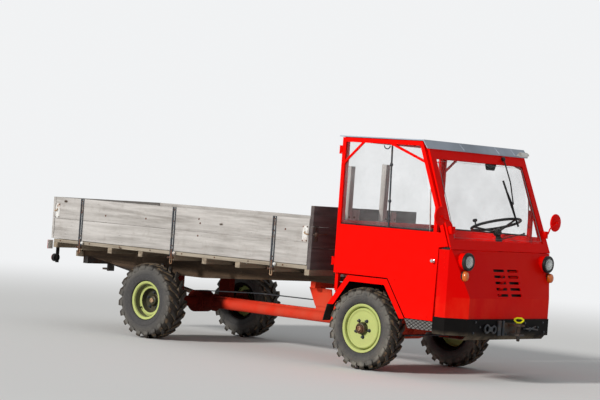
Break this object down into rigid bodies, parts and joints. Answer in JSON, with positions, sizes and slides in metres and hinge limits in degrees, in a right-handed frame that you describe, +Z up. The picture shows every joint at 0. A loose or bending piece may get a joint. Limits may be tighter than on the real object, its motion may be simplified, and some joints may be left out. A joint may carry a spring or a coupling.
{
  "type": "motor transporter",
  "caption": "Forward-cab farm transporter with a backbone tube chassis, large lugged tyres and a timber drop-side bed.",
  "frame": {"origin": "on the floor under the middle of the overall length, on the centre line", "axes": "+X forward, +Y to the vehicle's left, +Z up"},
  "size_m": [5.52, 1.9996, 2.142],
  "materials": {
    "red_paint": "weathered gloss red paint",
    "chassis_paint": "dull dark red paint with rust",
    "black_paint": "scuffed satin black paint",
    "roof_paint": "dusty light grey paint",
    "checker_plate": "galvanised raised pattern plate",
    "grey_wood": "weathered sawn planks",
    "dark_timber": "dark weathered timber",
    "rim_paint": "pale yellow-green paint",
    "tyre_rubber": "dusty black rubber",
    "flap_rubber": "worn black rubber",
    "clear_glass": "dusty clear glass",
    "cast_metal": "oily rusty castings",
    "seat_cover": "black vinyl",
    "black_plastic": "black moulded plastic",
    "ring_paint": "bright yellow paint"
  },
  "bodies": {
    "chassis": {"backbone_tube": "chassis_paint", "rear_axle_housing": "chassis_paint", "front_axle_housing": "chassis_paint", "front_frame": "chassis_paint", "bed_supports": "chassis_paint", "engine_block": "cast_metal", "bed_bearers": "dark_timber", "cross_joists": "dark_timber", "bed_floor": "grey_wood", "headboard": "grey_wood", "bed_hinges": "cast_metal", "tail_lamps": "black_plastic", "tow_hitch": "cast_metal", "tow_jaw": "cast_metal", "tow_pin": "ring_paint", "cab_floor": "red_paint", "mudguards": "red_paint", "mudflaps": "flap_rubber", "cab_frame": "red_paint", "cab_rear_wall": "red_paint", "windscreen_frame": "red_paint", "cab_glass": "clear_glass", "roof": "roof_paint", "nose_panel": "red_paint", "bumper": "black_paint", "steps": "checker_plate", "front_lamps": "red_paint", "mirrors": "red_paint", "bench_seat": "seat_cover", "steering_column": "black_paint"},
    "wheel_front_left": {"tyre_front_left": "tyre_rubber", "rim_front_left": "rim_paint"},
    "wheel_front_right": {"tyre_front_right": "tyre_rubber", "rim_front_right": "rim_paint"},
    "wheel_rear_left": {"tyre_rear_left": "tyre_rubber", "rim_rear_left": "rim_paint"},
    "wheel_rear_right": {"tyre_rear_right": "tyre_rubber", "rim_rear_right": "rim_paint"},
    "knuckle_left": {"knuckle_left": "cast_metal"},
    "door_left": {"door_left": "red_paint", "door_glass_left": "clear_glass"},
    "sideboard_left": {"sideboard_left": "grey_wood"},
    "knuckle_right": {"knuckle_right": "cast_metal"},
    "door_right": {"door_right": "red_paint", "door_glass_right": "clear_glass"},
    "sideboard_right": {"sideboard_right": "grey_wood"},
    "tie_rod": {"tie_rod": "cast_metal"},
    "tailboard": {"tailboard": "grey_wood"},
    "steering_wheel": {"steering_wheel": "black_plastic"}
  },
  "joints": [
    {"name": "steer_left", "type": "hinge", "parent": "chassis", "child": "knuckle_left", "pos_m": [1.51, 0.52, 0.38], "axis": [0, 0, 1], "range_deg": [-28, 28]},
    {"name": "steer_right", "type": "hinge", "parent": "chassis", "child": "knuckle_right", "pos_m": [1.51, -0.52, 0.38], "axis": [0, 0, 1], "range_deg": [-28, 28]},
    {"name": "wheel_front_left_spin", "type": "hinge", "parent": "knuckle_left", "child": "wheel_front_left", "pos_m": [1.51, 0.68, 0.38], "axis": [0, 1, 0], "continuous": true},
    {"name": "wheel_front_right_spin", "type": "hinge", "parent": "knuckle_right", "child": "wheel_front_right", "pos_m": [1.51, -0.68, 0.38], "axis": [0, 1, 0], "continuous": true},
    {"name": "wheel_rear_left_spin", "type": "hinge", "parent": "chassis", "child": "wheel_rear_left", "pos_m": [-1.26, 0.71, 0.38], "axis": [0, 1, 0], "continuous": true},
    {"name": "wheel_rear_right_spin", "type": "hinge", "parent": "chassis", "child": "wheel_rear_right", "pos_m": [-1.26, -0.71, 0.38], "axis": [0, 1, 0], "continuous": true},
    {"name": "tie_rod_pivot", "type": "hinge", "parent": "knuckle_left", "child": "tie_rod", "pos_m": [1.67, 0.52, 0.327], "axis": [0, 0, 1], "range_deg": [-28, 28]},
    {"name": "steering_wheel_turn", "type": "hinge", "parent": "chassis", "child": "steering_wheel", "pos_m": [2.085, 0.432, 1.415], "axis": [-0.2897, 0, 0.9571], "range_deg": [-560, 560]},
    {"name": "door_left_hinge", "type": "hinge", "parent": "chassis", "child": "door_left", "pos_m": [1.13, 0.792, 1.5], "axis": [0, 0, 1], "range_deg": [0, 85]},
    {"name": "door_right_hinge", "type": "hinge", "parent": "chassis", "child": "door_right", "pos_m": [1.13, -0.792, 1.5], "axis": [0, 0, -1], "range_deg": [0, 85]},
    {"name": "sideboard_left_hinge", "type": "hinge", "parent": "chassis", "child": "sideboard_left", "pos_m": [0, 0.806, 0.838], "axis": [-1, 0, 0], "range_deg": [0, 160]},
    {"name": "sideboard_right_hinge", "type": "hinge", "parent": "chassis", "child": "sideboard_right", "pos_m": [0, -0.806, 0.838], "axis": [1, 0, 0], "range_deg": [0, 160]},
    {"name": "tailboard_hinge", "type": "hinge", "parent": "chassis", "child": "tailboard", "pos_m": [-2.749, 0, 0.838], "axis": [0, -1, 0], "range_deg": [0, 170]}
  ],
  "couplings": [
    {"joint": "steer_right", "follows": "steer_left", "ratio": 1},
    {"joint": "tie_rod_pivot", "follows": "steer_left", "ratio": -1},
    {"joint": "steering_wheel_turn", "follows": "steer_left", "ratio": 20}
  ]
}
